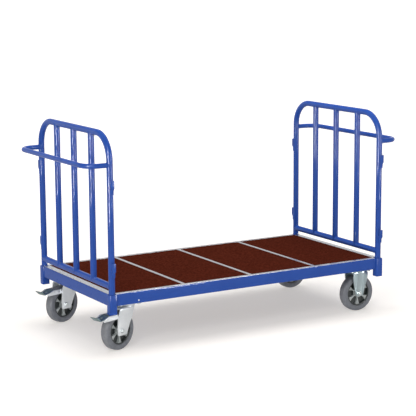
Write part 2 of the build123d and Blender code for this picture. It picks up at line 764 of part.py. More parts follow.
def wall_hooks(end):
    """Upward-opening hooks on the outer faces of both posts, two on each."""
    root = TUBE_RADIUS - 3.0
    tip_out = 29.0
    sheet = 5.0
    slot_floor = HOOK_HEIGHT / 2
    heel = root + sheet + 2.0
    back = root + sheet + 3.0
    neck_low = slot_floor - 14.0
    neck_high = slot_floor - 4.0
    with BuildPart() as hooks:
        with BuildSketch(Plane.YZ.offset(end * POST_X - HOOK_WIDTH / 2)):
            for side in SIDES.values():
                for base in HOOK_BASES:
                    with BuildLine():
                        Polyline(
                            (side * (POST_Y + root), base),
                            (side * (POST_Y + heel), base),
                            (side * (POST_Y + back), base + neck_low),
                            (side * (POST_Y + tip_out), base + neck_high),
                            (side * (POST_Y + tip_out), base + HOOK_HEIGHT),
                            (side * (POST_Y + tip_out - sheet), base + HOOK_HEIGHT),
                            (side * (POST_Y + tip_out - sheet), base + slot_floor),
                            (side * (POST_Y + root), base + slot_floor),
                            close=True,
                        )
                    make_face()
        extrude(amount=HOOK_WIDTH)
        add(hoop_rod(end, TUBE_RADIUS).part, mode=Mode.SUBTRACT)
    return hooks


# ---------------------------------------------------------------- screw and bolt positions
EDGE_SCREW_X = [-700.0 + 200.0 * step for step in range(8)]
CROSS_SCREW_Y = [-330.0, -110.0, 110.0, 330.0]
END_SCREW_Y = [-300.0, 0.0, 300.0]
END_SCREW_X = END_STRIP_INNER + END_STRIP_WIDTH / 2 + 2.0
CROSS_SCREWS = [(x, y) for x in CROSS_X for y in CROSS_SCREW_Y]
EDGE_SCREWS = [(x, side * EDGE_SCREW_Y) for x in EDGE_SCREW_X for side in SIDES.values()]
END_SCREWS = [(end * END_SCREW_X, y) for end in ENDS.values() for y in END_SCREW_Y]
CASTOR_CENTRES = [(x, side * CASTOR_Y) for x in (SWIVEL_X, FIXED_X) for side in SIDES.values()]
ALL_BOLT_POINTS = [point for centre in CASTOR_CENTRES for point in bolt_points(*centre)]

# ---------------------------------------------------------------- the whole truck
for side, sign in SIDES.items():
    finish(side_rail(sign), f"side_rail_{side}")
    strip_screws = [point for point in EDGE_SCREWS if point[1] * sign > 0]
    edge_strip = deck_strip(0, sign * EDGE_STRIP_Y, 2 * END_STRIP_INNER, EDGE_STRIP_WIDTH, strip_screws)
    finish(edge_strip, f"edge_strip_{side}")

for end, sign in ENDS.items():
    finish(end_rail(sign), f"end_rail_{end}")
    strip_screws = [point for point in END_SCREWS if point[0] * sign > 0]
    strip_x = sign * (END_STRIP_INNER + END_STRIP_WIDTH / 2)
    end_strip = deck_strip(strip_x, 0, END_STRIP_WIDTH, 2 * SOCKET_INNER_Y - 1, strip_screws)
    finish(end_strip, f"end_strip_{end}")
    for side in SIDES:
        finish(corner_socket(sign, SIDES[side]), f"corner_socket_{side}_{end}")

finish(cross_members(), "cross_members")
finish(rail_rivets(), "rail_rivets")
finish(deck_ledges(), "deck_ledges")

for index in range(PANEL_COUNT):
    finish(deck_panel(index), f"deck_panel_{index + 1}")

for index, x in enumerate(CROSS_X):
    strip_screws = [(x, y) for y in CROSS_SCREW_Y]
    inner_length = 2 * EDGE_STRIP_Y - EDGE_STRIP_WIDTH
    finish(deck_strip(x, 0, CROSS_STRIP_WIDTH, inner_length, strip_screws), f"cross_strip_{index + 1}")

finish(deck_screws(), "deck_screws")
finish(castor_fasteners(), "castor_fasteners")
finish(king_pins(), "king_pins")
finish(fixed_axles(), "fixed_axles")

for side in SIDES:
    finish(swivel_plate(side), f"swivel_plate_{side}")
    finish(swivel_fork(side), f"swivel_fork_{side}")
    finish(fixed_fork(side), f"fixed_fork_{side}")
    finish(axle(*wheel_centre("left", side)), f"swivel_axle_{side}")
    finish(brake_pedal(side), f"brake_pedal_{side}")
    finish(pedal_pin(side), f"pedal_pin_{side}")
    for end in ENDS:
        place = wheel_centre(end, side)
        finish(tyre(*place), f"tyre_{side}_{end}")
        finish(rim(*place), f"rim_{side}_{end}")
        finish(bearing(*place), f"bearing_{side}_{end}")

for end, sign in ENDS.items():
    finish(hoop_rod(sign, TUBE_RADIUS, TUBE_RADIUS - TUBE_WALL), f"wall_hoop_{end}")
    finish(wall_bottom_rail(sign), f"wall_bottom_rail_{end}")
    finish(wall_bars(sign), f"wall_bars_{end}")
    finish(push_handle(sign), f"push_handle_{end}")
    finish(wall_hooks(sign), f"wall_hooks_{end}")
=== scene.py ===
"""Looks of the flatbed platform truck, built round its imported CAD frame. Metres, +Z up."""
import json
import math

import bmesh
import bpy
from mathutils import Matrix, Vector

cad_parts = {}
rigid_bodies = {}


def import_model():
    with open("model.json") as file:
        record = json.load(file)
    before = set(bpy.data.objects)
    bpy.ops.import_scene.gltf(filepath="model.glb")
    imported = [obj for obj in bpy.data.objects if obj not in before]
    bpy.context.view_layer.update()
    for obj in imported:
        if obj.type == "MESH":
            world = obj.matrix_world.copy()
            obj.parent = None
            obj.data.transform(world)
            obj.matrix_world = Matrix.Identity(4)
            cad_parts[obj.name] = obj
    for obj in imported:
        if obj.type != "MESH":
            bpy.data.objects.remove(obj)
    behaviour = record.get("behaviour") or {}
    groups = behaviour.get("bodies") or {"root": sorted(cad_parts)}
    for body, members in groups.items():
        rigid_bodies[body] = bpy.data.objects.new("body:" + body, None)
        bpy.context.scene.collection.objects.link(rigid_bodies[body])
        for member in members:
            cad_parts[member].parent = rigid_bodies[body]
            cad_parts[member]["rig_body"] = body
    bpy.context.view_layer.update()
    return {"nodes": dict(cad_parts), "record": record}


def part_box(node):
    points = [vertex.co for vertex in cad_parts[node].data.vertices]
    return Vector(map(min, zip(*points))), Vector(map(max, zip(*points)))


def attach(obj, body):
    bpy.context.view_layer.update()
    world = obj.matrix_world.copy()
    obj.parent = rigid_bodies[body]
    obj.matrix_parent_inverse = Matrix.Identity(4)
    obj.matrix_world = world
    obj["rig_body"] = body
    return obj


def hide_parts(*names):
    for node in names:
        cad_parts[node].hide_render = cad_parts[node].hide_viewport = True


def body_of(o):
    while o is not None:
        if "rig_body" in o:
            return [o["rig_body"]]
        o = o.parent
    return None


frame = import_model()

SIDES = ("front", "back")
ENDS = ("left", "right")
SLOT_OF = {entry["node"]: entry["material_slot"] for entry in frame["record"]["subparts"]}

X_AXIS = Vector((1, 0, 0))
Y_AXIS = Vector((0, 1, 0))
Z_AXIS = Vector((0, 0, 1))

# ---- camera, at the photograph's viewing angle
CAMERA_PLACE = Vector((-3.9353, -6.6156, 1.9558))
CAMERA_YAW = 0.53362
CAMERA_PITCH = -0.17525
CAMERA_ROLL = -0.00647
SENSOR_WIDTH = 36.0
LENS_LENGTH = 125.3
CLIP_END = 200.0

# ---- named sizes that the frame's boxes don't give
SWIVEL_ANGLES = {"front": 19.5, "back": 18.0}
HOOP_BEND = 0.130
HANDLE_BEND = 0.072
BAR_COUNT = 3
RAIL_CORNER = 0.004
SOCKET_CORNER = 0.006
SOCKET_WALL = 0.003
WELD_BEAD = 0.0021
RAIL_BEAD = 0.00105
FORK_OUTSIDE = 0.034
SHANK_RADIUS = 0.006
AXLE_FLATS = 0.019
AXLE_HEAD = 0.0078
AXLE_WASHER = (0.0125, 0.0014)
HEAD_CHAMFER = 0.0008
RIVET_RISE = 0.0040

# ---- how far the sharp edges of the pressed and cut parts are rounded over
PLATE_EDGE = 0.0010
FORMED_EDGE = 0.0009
PEDAL_EDGE = 0.0007
BOLT_EDGE = 0.0005

# ---- points round a tube, a turned form and a small bead or head
ROUND = 40
TURNED = 96
SMALL = 32
BEAD = 8

# ---- wheel: half sections as (distance from the middle plane, radius) pairs
TYRE_RADIUS = 0.100
TYRE_TREAD = [(0.0090, 0.0998), (0.0165, 0.0988), (0.0190, 0.0976)]
TYRE_SHOULDER = [(0.0222, 0.0945), (0.0236, 0.0925), (0.0240, 0.0915), (0.0248, 0.0890)]
TYRE_WALL = [(0.0247, 0.0860), (0.0240, 0.0820), (0.0236, 0.0780)]
TYRE_FOOT = [(0.0243, 0.0765), (0.0243, 0.0750), (0.0232, 0.0735), (0.0222, 0.0712)]
RIM_WEB = [(0.0035, 0.0225), (0.0035, 0.0625)]
RIM_LIP = [(0.0190, 0.0708), (0.0210, 0.0700), (0.0212, 0.0672), (0.0205, 0.0655)]
RIM_BED = [(0.0150, 0.0640), (0.0030, 0.0620)]
BOSS_RADIUS = 0.0232
BOSS_END = [(0.0258, 0.0218), (0.0270, 0.0205), (0.0270, 0.0128), (0.0262, 0.0121)]

# ---- rim ribs: half plan as (distance from the axle, half thickness) pairs
RIB_COUNT = 6
RIB_PLAN = [(0.0215, 0.0034), (0.0300, 0.0028), (0.0420, 0.0040), (0.0530, 0.0076), (0.0640, 0.0135)]
RIB_HALF_WIDTH = 0.0160
RIB_BREAK = 0.0008
RIB_THINNING = 0.0007

# ---- floor's painted glow, from near the truck to far away: weaker near the truck, where it paints the floor darker as a painted shade
FLOOR_HALF = 100.0
GLOW_STRENGTHS = (0.445, 0.95)
GLOW_DISTANCES = (1.2, 4.5)

# ---- surroundings: (direction's z from, to, strength from, to), multiplied together
SURROUNDINGS = ((0.08, 0.5, 1.0, 0.22), (-0.15, -0.03, 0.62, 1.0))

# ---- soft lights: name, place, target, width and height, watts, lights surfaces, shows in reflections
LIGHTS = (
    ("strip", (-4.1, -2.2, 1.3), (-0.5, -0.3, 0.7), (0.5, 2.6), 420, False, True),
    ("edge", (1.5, -3.9, 1.25), (-0.3, -0.3, 0.7), (0.35, 2.4), 130, False, True),
    ("key", (-4.0, -4.0, 4.2), (0, 0, 0.4), (2.5, 2.5), 130, True, True),
    ("top", (0.3, 0.4, 4.5), (0, 0, 0), (5.0, 4.0), 220, True, False),
)


# ---------------------------------------------------------------- material nodes
class Nodes:
    """A material's node tree, with short calls for what the materials below need."""

    def __init__(self, name):
        self.material = bpy.data.materials.new(name)
        self.material.use_nodes = True
        self.tree = self.material.node_tree
        self.shader = self.tree.nodes["Principled BSDF"]

    def set(self, **values):
        """Constant values of the shader's own sockets, with _ for a space in a socket's name."""
        for key, value in values.items():
            self.shader.inputs[key.replace("_", " ")].default_value = value

    def link(self, source, target):
        self.tree.links.new(source, target)

    def place(self):
        """Object coordinates, which are the truck's own metres."""
        return self.tree.nodes.new("ShaderNodeTexCoord").outputs["Object"]

    def noise(self, scale, detail=3.0, roughness=0.5):
        node = self.tree.nodes.new("ShaderNodeTexNoise")
        node.inputs["Scale"].default_value = scale
        node.inputs["Detail"].default_value = detail
        node.inputs["Roughness"].default_value = roughness
        self.link(self.place(), node.inputs["Vector"])
        return node.outputs["Fac"]

    def bands(self, scale, axis):
        """Sine ridges across one axis."""
        node = self.tree.nodes.new("ShaderNodeTexWave")
        node.bands_direction = axis
        node.inputs["Scale"].default_value = scale
        self.link(self.place(), node.inputs["Vector"])
        return node.outputs["Fac"]

    def spread(self, value, low, high, start=0.3, stop=0.7):
        """Maps value from start..stop to low..high."""
        node = self.tree.nodes.new("ShaderNodeMapRange")
        for name, number in (("From Min", start), ("From Max", stop), ("To Min", low), ("To Max", high)):
            node.inputs[name].default_value = number
        self.link(value, node.inputs["Value"])
        return node.outputs["Result"]

    def combine(self, operation, first, second):
        """Sum or product of two values."""
        node = self.tree.nodes.new("ShaderNodeMath")
        node.operation = operation
        self.link(first, node.inputs[0])
        self.link(second, node.inputs[1])
        return node.outputs["Value"]

    def blend(self, factor, first, second):
        """Colour between first and second by factor; either may be a colour or a socket."""
        node = self.tree.nodes.new("ShaderNodeMix")
        node.data_type = "RGBA"
        colours = [socket for socket in node.inputs if socket.type == "RGBA"]
        self.link(factor, node.inputs["Factor"])
        for socket, value in zip(colours, (first, second)):
            if isinstance(value, tuple):
                socket.default_value = (*value, 1.0)
            else:
                self.link(value, socket)
        return next(socket for socket in node.outputs if socket.type == "RGBA")

    def colour(self, socket):
        self.link(socket, self.shader.inputs["Base Color"])

    def roughness(self, socket):
        self.link(socket, self.shader.inputs["Roughness"])

    def bump(self, height, strength, distance):
        node = self.tree.nodes.new("ShaderNodeBump")
        node.inputs["Strength"].default_value = strength
        node.inputs["Distance"].default_value = distance
        self.link(height, node.inputs["Height"])
        self.link(node.outputs["Normal"], self.shader.inputs["Normal"])


def blue_powder_coat():
    """Gloss powder coat: slight orange peel, faint unevenness in colour and gloss."""
    nodes = Nodes("blue_powder_coat")
    nodes.set(Metallic=0.0, Specular_IOR_Level=0.03, Coat_Weight=0.6, Coat_Roughness=0.045, Coat_IOR=1.45)
    cloud = nodes.spread(nodes.noise(5.0, 4.0), 0.0, 1.0)
    nodes.colour(nodes.blend(cloud, (0.0140, 0.0605, 0.306), (0.0180, 0.0690, 0.336)))
    nodes.roughness(nodes.spread(nodes.noise(25.0, 6.0, 0.6), 0.26, 0.38))
    nodes.bump(nodes.noise(420.0, 2.0), 0.08, 0.0003)
    return nodes.material


def deck_board():
    """Film-faced plywood: dark red-brown and finely mottled, with a pressed wire-mesh grip."""
    nodes = Nodes("deck_board")
    nodes.set(Specular_IOR_Level=0.0)
    mottle = nodes.spread(nodes.noise(230.0, 5.0, 0.7), 0.0, 1.0, 0.36, 0.66)
    coarse = nodes.spread(nodes.noise(85.0, 4.0, 0.75), 0.0, 0.9, 0.42, 0.62)
    cloud = nodes.spread(nodes.noise(3.0, 4.0, 0.6), 0.0, 0.3)
    film = nodes.blend(mottle, (0.014, 0.0027, 0.0013), (0.068, 0.0123, 0.0060))
    film = nodes.blend(coarse, film, (0.094, 0.0185, 0.0100))
    nodes.colour(nodes.blend(cloud, film, (0.058, 0.0125, 0.0072)))
    nodes.roughness(nodes.spread(nodes.noise(40.0, 6.0, 0.6), 0.58, 0.8))
    mesh = nodes.combine("MULTIPLY", nodes.bands(32.0, "X"), nodes.bands(32.0, "Y"))
    nodes.bump(nodes.combine("ADD", mesh, mottle), 0.3, 0.0005)
    return nodes.material


def metal(name, pale, dark, rough, grain=90.0, tint=None, bump=0.05, metallic=1.0):
    """Plated or drawn metal: two tones in clouds, uneven polish and fine grain."""
    nodes = Nodes(name)
    nodes.set(Metallic=metallic)
    cloud = nodes.spread(nodes.noise(18.0, 5.0, 0.6), 0.0, 1.0)
    colour = nodes.blend(cloud, dark, pale)
    if tint:
        colour = nodes.blend(nodes.spread(nodes.noise(9.0, 2.0), 0.0, 0.5, 0.5, 0.75), colour, tint)
    nodes.colour(colour)
    streaks = nodes.noise(grain, 4.0, 0.6)
    nodes.roughness(nodes.spread(streaks, rough[0], rough[1]))
    nodes.bump(streaks, bump, 0.0003)
    return nodes.material


def rubber(name, dark, pale):
    """Grey solid rubber: dusty, scuffed in patches, with a fine grain."""
    nodes = Nodes(name)
    nodes.set(Specular_IOR_Level=0.35)
    dust = nodes.spread(nodes.noise(35.0, 6.0, 0.65), 0.0, 1.0, 0.35, 0.7)
    nodes.colour(nodes.blend(dust, dark, pale))
    nodes.roughness(nodes.spread(nodes.noise(60.0, 4.0), 0.5, 0.75))
    nodes.bump(nodes.noise(700.0, 3.0), 0.2, 0.0004)
    return nodes.material


def moulded(name, dark, pale, rough):
    """Moulded plastic or casting with a fine grain."""
    nodes = Nodes(name)
    nodes.colour(nodes.blend(nodes.spread(nodes.noise(30.0, 5.0), 0.0, 1.0), dark, pale))
    nodes.roughness(nodes.spread(nodes.noise(80.0, 4.0), rough[0], rough[1]))
    nodes.bump(nodes.noise(900.0, 2.0), 0.15, 0.0003)
    return nodes.material


MATERIALS = {
    "blue_powder_coat": blue_powder_coat(),
    "deck_board": deck_board(),
    "strip_metal": metal(
        "strip_metal", (0.80, 0.82, 0.86), (0.70, 0.725, 0.77), (0.24, 0.36), grain=60.0, bump=0.02
    ),
    "bolt_steel": metal("bolt_steel", (0.72, 0.75, 0.75), (0.5, 0.53, 0.53), (0.22, 0.4)),
    "bright_zinc": metal(
        "bright_zinc", (0.75, 0.775, 0.79), (0.63, 0.655, 0.675), (0.28, 0.42), metallic=0.5
    ),
    "green_zinc": metal(
        "green_zinc",
        (0.50, 0.58, 0.60),
        (0.41, 0.485, 0.50),
        (0.28, 0.36),
        grain=40.0,
        tint=(0.37, 0.46, 0.49),
        bump=0.02,
    ),
    "pedal_steel": metal("pedal_steel", (0.30, 0.38, 0.38), (0.17, 0.23, 0.23), (0.3, 0.48)),
    "grey_tyre": rubber("grey_tyre", (0.118, 0.127, 0.147), (0.166, 0.177, 0.200)),
    "rim_plastic": moulded("rim_plastic", (0.012, 0.017, 0.017), (0.022, 0.029, 0.029), (0.35, 0.5)),
}
# the tyre's rubber painted paler for the tread: a painted highlight, not a different rubber
TREAD_PAINTED_HIGHLIGHT_RUBBER = rubber("tyre_tread_painted_highlight", (0.142, 0.149, 0.168), (0.200, 0.209, 0.230))
RIB_PLASTIC = moulded("rim_rib_plastic", (0.28, 0.31, 0.31), (0.40, 0.43, 0.43), (0.3, 0.45))


# ---------------------------------------------------------------- mesh building
def centre_of(node):
    low, high = (Vector(corner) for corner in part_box(node))
    return (low + high) / 2


def ring(centre, across, upward, radius, count=ROUND):
    """Points of a circle about centre in the plane of two unit directions."""
    turns = (2 * math.pi * step / count for step in range(count))
    return [centre + (across * math.cos(turn) + upward * math.sin(turn)) * radius for turn in turns]


def skin(bm, rings, closed=False):
    """Faces between successive rings of equally many points, with flat ends unless closed."""
    loops = [[bm.verts.new(point) for point in points] for points in rings]
    following = loops[1:] + (loops[:1] if closed else [])
    for first, second in zip(loops, following):
        for index in range(len(first)):
            after = (index + 1) % len(first)
            bm.faces.new((first[index], first[after], second[after], second[index]))
    if not closed:
        bm.faces.new(loops[0][::-1])
        bm.faces.new(loops[-1])


def bent_path(points, bend):
    """Points and directions along a line whose right-angled corners are rounded."""
    steps = 16
    path = [(points[0], (points[1] - points[0]).normalized())]
    for before, corner, after in zip(points, points[1:], points[2:]):
        inward = (before - corner).normalized()
        outward = (after - corner).normalized()
        middle = corner + (inward + outward) * bend
        for step in range(steps + 1):
            turn = math.pi / 2 * step / steps
            spoke = outward * math.cos(turn) + inward * math.sin(turn)
            along = outward * math.sin(turn) - inward * math.cos(turn)
            path.append((middle - spoke * bend, along))
    path.append((points[-1], (points[-1] - points[-2]).normalized()))
    return path


def tube(bm, points, radius, normal, bend=0.0, count=ROUND):
    """Round tube along a flat path, normal being square to the path's plane."""
    path = bent_path(points, bend)
    skin(bm, [ring(place, normal, along.cross(normal), radius, count) for place, along in path])


def lathe(bm, centre, axis, profile, count=TURNED, closed=False):
    """Turned form about a level axis; profile is (distance along the axis, radius) pairs."""
    across = Z_AXIS.cross(axis).normalized()
    upward = axis.cross(across)
    rings = [ring(centre + axis * along, across, upward, radius, count) for along, radius in profile]
    skin(bm, rings, closed)


def both_sides(half):
    """Half a section followed by its mirror image across the middle plane."""
    return half + [(-along, radius) for along, radius in reversed(half)]


def weld(bm, place, main, branch, main_radius, branch_radius):
    """Rippled bead where a branch tube leaves a main tube, both given by unit directions."""
    side = main.cross(branch)
    count = 72
    ripples = 24
    ripple_depth = 0.1
    spokes = []
    path = []
    for step in range(count):
        turn = 2 * math.pi * step / count
        spoke = main * math.cos(turn) + side * math.sin(turn)
        reach = math.sqrt(max(main_radius ** 2 - (branch_radius * math.sin(turn)) ** 2, 0))
        spokes.append(spoke)
        path.append(place + branch * reach + spoke * branch_radius)
    rings = []
    for step in range(count):
        along = (path[(step + 1) % count] - path[step - 1]).normalized()
        second = along.cross(spokes[step]).normalized()
        ripple = 1 + ripple_depth * math.sin(ripples * 2 * math.pi * step / count)
        rings.append(ring(path[step], spokes[step], second, WELD_BEAD * ripple, BEAD))
    skin(bm, rings, closed=True)


def rounded_outline(half_a, half_b, corner):
    """Outline of a rectangle with rounded corners as (a, b) pairs."""
    steps = 8
    points = []
    for quarter, (sign_a, sign_b) in enumerate(((1, 1), (-1, 1), (-1, -1), (1, -1))):
        for step in range(steps + 1):
            turn = math.pi / 2 * (quarter + step / steps)
            a = sign_a * (half_a - corner) + corner * math.cos(turn)
            b = sign_b * (half_b - corner) + corner * math.sin(turn)
            points.append((a, b))
    return points


def hexagon_outline(across_flats, widest):
    """Hexagon as (a, b) pairs, its corners cut back to the widest radius."""
    count = 48
    points = []
    for step in range(count):
        turn = 2 * math.pi * step / count
        from_flat = (turn + math.pi / 6) % (math.pi / 3) - math.pi / 6
        radius = min(across_flats / 2 / math.cos(from_flat), widest)
        points.append((radius * math.cos(turn), radius * math.sin(turn)))
    return points


def outline_rings(origin, direction_a, direction_b, along, levels):
    """Rings for skin(): levels is (distance along, outline) pairs."""
    rings = []
    for level, outline in levels:
        middle = origin + along * level
        rings.append([middle + direction_a * a + direction_b * b for a, b in outline])
    return rings


def hexagon_head(bm, seat, along, across_flats, height, washer):
    """Chamfered hexagon head standing on seat, on a washer of (radius, thickness)."""
    direction_a = along.orthogonal().normalized()
    direction_b = along.cross(direction_a)
    radius, base = washer
    washer_chamfer = base * 0.3
    levels = [(0, radius), (base - washer_chamfer, radius), (base, radius - washer_chamfer)]
    skin(bm, [ring(seat + along * level, direction_a, direction_b, size) for level, size in levels])
    chamfered = height - 2 * HEAD_CHAMFER
    widest_shares = [
        (base, 1 / math.sqrt(3)),
        (chamfered, 1 / math.sqrt(3)),
        (height - HEAD_CHAMFER, 0.54),
        (height, 0.475),
        (height, 0.40),
    ]
    levels = [(level, hexagon_outline(across_flats, across_flats * share)) for level, share in widest_shares]
    skin(bm, outline_rings(seat, direction_a, direction_b, along, levels))


def add_piece(name, bm, node, replaced=(), crease=32.0, material=None):
    """Makes a smooth-shaded piece that rides with node's body and takes its material slot."""
    bmesh.ops.recalc_face_normals(bm, faces=bm.faces)
    mesh = bpy.data.meshes.new(name)
    bm.to_mesh(mesh)
    bm.free()
    mesh.shade_smooth()
    mesh.set_sharp_from_angle(angle=math.radians(crease))
    slot = SLOT_OF[node]
    mesh.materials.append(material or MATERIALS[slot])
    piece = bpy.data.objects.new(name, mesh)
    bpy.context.scene.collection.objects.link(piece)
    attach(piece, body_of(frame["nodes"][node])[0])
    if replaced:
        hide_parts(*replaced)
    return piece


def refine(name, node, width):
    """Copy of a CAD node with its sharp edges rounded over, shown in the node's place."""
    same_point = 1e-6
    same_plane = math.radians(1.0)
    sharp_turn = math.radians(32.0)
    bm = bmesh.new()
    bm.from_mesh(frame["nodes"][node].data)
    bmesh.ops.remove_doubles(bm, verts=bm.verts, dist=same_point)
    bmesh.ops.dissolve_limit(bm, angle_limit=same_plane, verts=bm.verts, edges=bm.edges)
    bmesh.ops.bevel(
        bm,
        geom=[edge for edge in bm.edges if edge.is_manifold and edge.calc_face_angle() > sharp_turn],
        offset=width,
        segments=2,
        profile=0.5,
        affect="EDGES",
        clamp_overlap=True,
        loop_slide=True,
    )
    add_piece(name, bm, node, (node,), crease=40.0)


# ---------------------------------------------------------------- end walls
def end_wall(end):
    """Hoop, bottom rail, upright bars, push handle and hooks of one end wall.

    The bottom rail and the bars are a hair thinner than the posts, so that skins don't coincide.
    """
    rail_share = 0.999
    bar_share = 0.998
    hoop_low, hoop_high = (Vector(corner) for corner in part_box(f"wall_hoop_{end}"))
    radius = (hoop_high.x - hoop_low.x) / 2
    post_x = (hoop_high.x + hoop_low.x) / 2
    post_y = hoop_high.y - radius
    top = hoop_high.z - radius
    rail_z = centre_of(f"wall_bottom_rail_{end}").z
    handle_low, handle_high = (Vector(corner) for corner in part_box(f"push_handle_{end}"))
    handle_radius = (handle_high.z - handle_low.z) / 2
    handle_z = (handle_high.z + handle_low.z) / 2
    outward = 1 if end == "right" else -1
    handle_x = handle_high.x - handle_radius if end == "right" else handle_low.x + handle_radius
    pitch = 2 * post_y / (BAR_COUNT + 1)
    bars = [pitch * (step + 1) - post_y for step in range(BAR_COUNT)]

    hoop = bmesh.new()
    corners = [(-post_y, hoop_low.z), (-post_y, top), (post_y, top), (post_y, hoop_low.z)]
    tube(hoop, [Vector((post_x, y, z)) for y, z in corners], radius, X_AXIS, HOOP_BEND)
    add_piece(f"hoop_tube_{end}", hoop, f"wall_hoop_{end}", (f"wall_hoop_{end}",))

    rail = bmesh.new()
    ends = [Vector((post_x, -post_y, rail_z)), Vector((post_x, post_y, rail_z))]
    tube(rail, ends, radius * rail_share, X_AXIS)
    for sign in (-1, 1):
        weld(rail, Vector((post_x, sign * post_y, rail_z)), Z_AXIS, Y_AXIS * -sign, radius, radius)
    add_piece(f"bottom_rail_tube_{end}", rail, f"wall_bottom_rail_{end}", (f"wall_bottom_rail_{end}",))

    uprights = bmesh.new()
    for y in bars:
        ends = [Vector((post_x, y, rail_z)), Vector((post_x, y, top))]
        tube(uprights, ends, radius * bar_share, X_AXIS)
        weld(uprights, Vector((post_x, y, rail_z)), Y_AXIS, Z_AXIS, radius, radius)
        weld(uprights, Vector((post_x, y, top)), Y_AXIS, -Z_AXIS, radius, radius)
    add_piece(f"upright_tubes_{end}", uprights, f"wall_bars_{end}", (f"wall_bars_{end}",))

    handle = bmesh.new()
    corners = [(post_x, -post_y), (handle_x, -post_y), (handle_x, post_y), (post_x, post_y)]
    tube(handle, [Vector((x, y, handle_z)) for x, y in corners], handle_radius, Z_AXIS, HANDLE_BEND)
    for sign in (-1, 1):
        place = Vector((post_x, sign * post_y, handle_z))
        weld(handle, place, Z_AXIS, X_AXIS * outward, radius, handle_radius)
    add_piece(f"handle_tube_{end}", handle, f"push_handle_{end}", (f"push_handle_{end}",))

    refine(f"hooks_{end}", f"wall_hooks_{end}", FORMED_EDGE)


# ---------------------------------------------------------------- frame and deck
def rail(node, along, name):
    """Rounded rectangular tube along one axis, with a weld bead round each end's outer and lower face."""
    bead_top = 0.006
    low, high = (Vector(corner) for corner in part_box(node))
    middle = (low + high) / 2
    across = Y_AXIS if along is X_AXIS else X_AXIS
    half_length = (high - low).dot(along) / 2
    half_width = (high - low).dot(across) / 2
    half_height = (high.z - low.z) / 2
    outline = rounded_outline(half_width, half_height, RAIL_CORNER)
    bm = bmesh.new()
    skin(bm, outline_rings(middle, across, Z_AXIS, along, [(-half_length, outline), (half_length, outline)]))
    outward = 1 if middle.dot(across) > 0 else -1
    for sign in (-1, 1):
        stop = middle + along * sign * half_length
        face = stop + across * outward * half_width
        path = [
            face + Z_AXIS * (half_height - bead_top),
            face - Z_AXIS * half_height,
            stop - Z_AXIS * half_height - across * outward * half_width,
        ]
        tube(bm, path, RAIL_BEAD, along, RAIL_CORNER, BEAD)
    add_piece(name, bm, node, (node,))


def socket(node, name):
    """Corner socket: rounded square tube with a broken rim, closed below."""
    low, high = (Vector(corner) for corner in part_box(node))
    middle = (low + high) / 2
    foot = Vector((middle.x, middle.y, low.z))
    half = (high.x - low.x) / 2
    height = high.z - low.z
    edge = 0.001
    ease = edge * 0.3
    wall = SOCKET_WALL
    full = rounded_outline(half, half, SOCKET_CORNER)
    trimmed = rounded_outline(half - edge, half - edge, SOCKET_CORNER - edge)
    eased = rounded_outline(half - ease, half - ease, SOCKET_CORNER - ease)
    inner = rounded_outline(half - wall, half - wall, SOCKET_CORNER - wall)
    levels = [
        (0, trimmed),
        (ease, eased),
        (edge, full),
        (height - edge, full),
        (height - ease, eased),
        (height, trimmed),
        (height, inner),
        (wall, inner),
    ]
    bm = bmesh.new()
    skin(bm, outline_rings(foot, X_AXIS, Y_AXIS, Z_AXIS, levels))
    add_piece(name, bm, node, (node,))


# ---------------------------------------------------------------- castors
def wheel_frame(end, side):
    """A wheel's centre, its axle's direction and its rolling direction."""
    turn = math.radians(SWIVEL_ANGLES[side]) if end == "left" else 0.0
    axis = Vector((-math.sin(turn), math.cos(turn), 0))
    forward = Vector((math.cos(turn), math.sin(turn), 0))
    return centre_of(f"tyre_{side}_{end}"), axis, forward


def tyre(end, side):
    """Solid tyre of one rubber, its tread painted paler than its walls as a painted highlight."""
    tread_slope = 0.4
    hub, axis, _ = wheel_frame(end, side)
    node = f"tyre_{side}_{end}"
    half_section = TYRE_TREAD + TYRE_SHOULDER + TYRE_WALL + TYRE_FOOT
    bm = bmesh.new()
    lathe(bm, hub, axis, [(0.0, TYRE_RADIUS)] + both_sides(half_section), closed=True)
    piece = add_piece(f"solid_tyre_{side}_{end}", bm, node, (node,), crease=24.0)
    piece.data.materials.append(TREAD_PAINTED_HIGHLIGHT_RUBBER)
    # tread faces take the paler rubber, a painted highlight
    for face in piece.data.polygons:
        if abs(face.normal.dot(axis)) < tread_slope:
            face.material_index = 1


def rim(end, side):
    """Rim's band and web, and in a paler plastic its boss and flared ribs."""
    hub, axis, forward = wheel_frame(end, side)
    node = f"rim_{side}_{end}"
    bm = bmesh.new()
    lathe(bm, hub, axis, both_sides(RIM_WEB), closed=True)
    lathe(bm, hub, axis, both_sides(RIM_LIP + RIM_BED), closed=True)
    add_piece(f"rim_band_{side}_{end}", bm, node, (node,))

    bm = bmesh.new()
    lathe(bm, hub, axis, [(0.0, BOSS_RADIUS)] + both_sides(BOSS_END), closed=True)
    full = RIB_PLAN + [(reach, -half) for reach, half in reversed(RIB_PLAN)]
    slim = [(reach, half - math.copysign(RIB_THINNING, half)) for reach, half in full]
    face = RIB_HALF_WIDTH - RIB_BREAK
    levels = [(-RIB_HALF_WIDTH, slim), (-face, full), (face, full), (RIB_HALF_WIDTH, slim)]
    for step in range(RIB_COUNT):
        turn = 2 * math.pi * (step + 0.5) / RIB_COUNT
        spoke = forward * math.cos(turn) + Z_AXIS * math.sin(turn)
        side_way = Z_AXIS * math.cos(turn) - forward * math.sin(turn)
        skin(bm, outline_rings(hub, spoke, side_way, axis, levels))
    add_piece(f"rim_ribs_{side}_{end}", bm, node, crease=28.0, material=RIB_PLASTIC)


